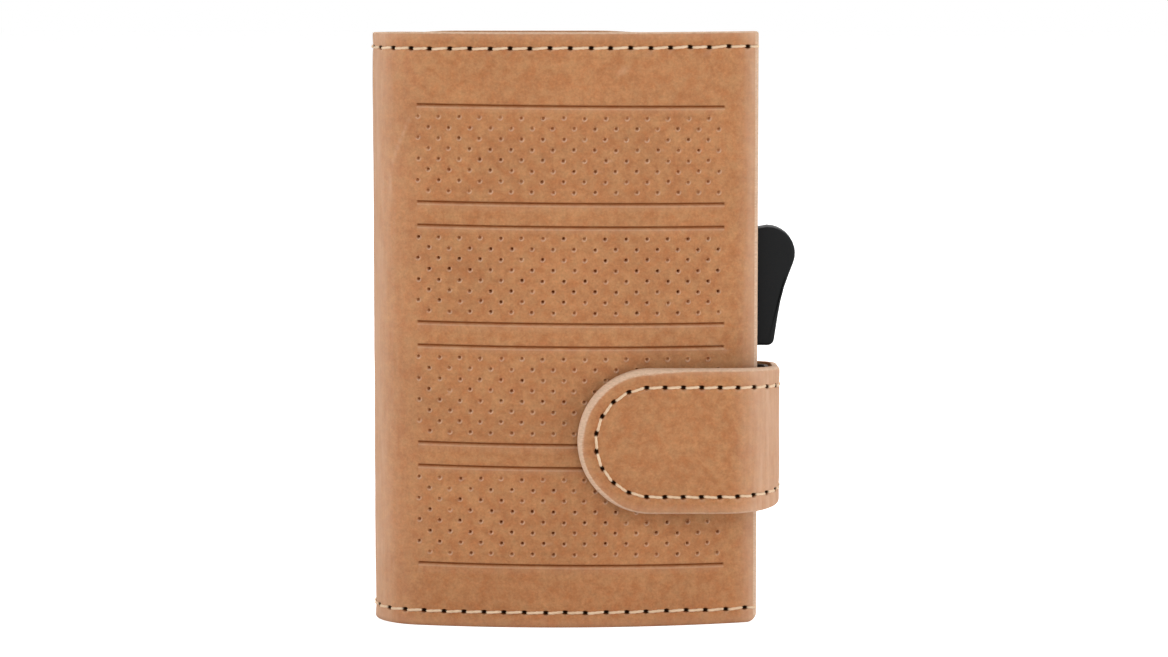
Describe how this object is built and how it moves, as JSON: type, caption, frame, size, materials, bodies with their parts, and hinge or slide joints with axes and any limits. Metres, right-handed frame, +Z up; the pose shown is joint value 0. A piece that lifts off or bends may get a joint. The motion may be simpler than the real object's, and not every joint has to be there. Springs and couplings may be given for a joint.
{
  "type": "mini wallet",
  "caption": "Slim card wallet: tan leather cover round an aluminium card case with a side thumb slider, closed by a round-ended magnetic strap.",
  "frame": {"origin": "middle of the bounding box's base, with the wallet standing on its lower edge", "axes": "+Z up towards the mouth of the card case, +Y towards the back of the wallet, +X towards the thumb lever; the closed strap's tip lies on the -Y face"},
  "size_m": [0.0728, 0.0228, 0.102],
  "materials": {
    "tan_leather": "matt vegetable-tanned leather with a fine mottled grain and raw pale edges",
    "lining_leather": "thin split leather, matt",
    "strap_lining": "dark brown lining leather, matt",
    "case_aluminium": "brushed along its height",
    "black_plastic": "fine moulded texture",
    "lever_plastic": "satin moulded black",
    "bright_steel": "plain bright",
    "black_felt": "pressed felt",
    "tape": "double-sided foam tape"
  },
  "bodies": {
    "back": {"back_leather": "tan_leather", "back_lining": "lining_leather", "case_tape": "tape", "case_shell": "case_aluminium", "case_bottom_cap": "black_plastic", "slide_guide": "black_plastic", "friction_pad_front": "black_felt", "friction_pad_back": "black_felt"},
    "spine": {"spine_leather": "tan_leather", "spine_lining": "lining_leather"},
    "front": {"front_leather": "tan_leather", "front_lining": "lining_leather", "note_pocket": "lining_leather", "card_pocket": "tan_leather", "front_keeper": "bright_steel"},
    "strap_side": {"strap_side_outer": "tan_leather", "strap_side_lining": "strap_lining"},
    "strap_tip": {"strap_tip_outer": "tan_leather", "strap_tip_lining": "strap_lining", "strap_magnet": "bright_steel"},
    "ejector": {"ejector_foot": "black_plastic", "ejector_carriage": "black_plastic", "thumb_lever": "lever_plastic", "lever_pin_upper": "bright_steel", "lever_pin_lower": "bright_steel"}
  },
  "joints": [
    {"name": "cover_back_fold", "type": "hinge", "parent": "back", "child": "spine", "pos_m": [-0.03464, 0.00959, 0], "axis": [0, 0, -1], "range_deg": [0, 90]},
    {"name": "cover_front_fold", "type": "hinge", "parent": "spine", "child": "front", "pos_m": [-0.03353, -0.0033, 0], "axis": [0, 0, -1], "range_deg": [0, 90]},
    {"name": "strap_root_fold", "type": "hinge", "parent": "back", "child": "strap_side", "pos_m": [0.03214, 0.00988, 0], "axis": [0, 0, 1], "range_deg": [0, 90]},
    {"name": "strap_tip_fold", "type": "hinge", "parent": "strap_side", "child": "strap_tip", "pos_m": [0.03061, -0.00836, 0], "axis": [0, 0, 1], "range_deg": [0, 90]},
    {"name": "ejector_slide", "type": "slide", "parent": "back", "child": "ejector", "axis": [0, 0, 1], "range_m": [0, 0.022]}
  ]
}
